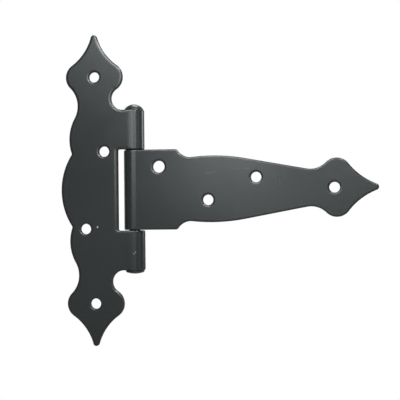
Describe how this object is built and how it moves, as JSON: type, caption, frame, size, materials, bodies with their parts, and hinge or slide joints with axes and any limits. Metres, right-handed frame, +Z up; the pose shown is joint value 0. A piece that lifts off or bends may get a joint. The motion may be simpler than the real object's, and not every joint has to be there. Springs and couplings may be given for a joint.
{
  "type": "tee hinge",
  "caption": "Decorative tee hinge: a tapering strap swings on a riveted pin through the rolled knuckles of an upright leaf, both stamped with spear-shaped ends.",
  "frame": {"origin": "on the pin's axis, half way up the barrel", "axes": "+Z up along the pin towards its domed head; +X from the pin towards the strap's tip with the hinge laid flat; -Y out of the smooth faces of both sheets, and the barrel stands out towards +Y"},
  "size_m": [0.1976, 0.0132, 0.195],
  "materials": {
    "sheet_coat": "satin near-black powder coat",
    "pin_coat": "satin near-black powder coat, a little glossier"
  },
  "bodies": {
    "leaf": {"frame_leaf": "sheet_coat", "hinge_pin": "pin_coat"},
    "strap": {"strap": "sheet_coat"}
  },
  "joints": [
    {"name": "strap_swing", "type": "hinge", "parent": "leaf", "child": "strap", "pos_m": [0, 0, 0], "axis": [0, 0, 1], "range_deg": [-105, 180]}
  ]
}
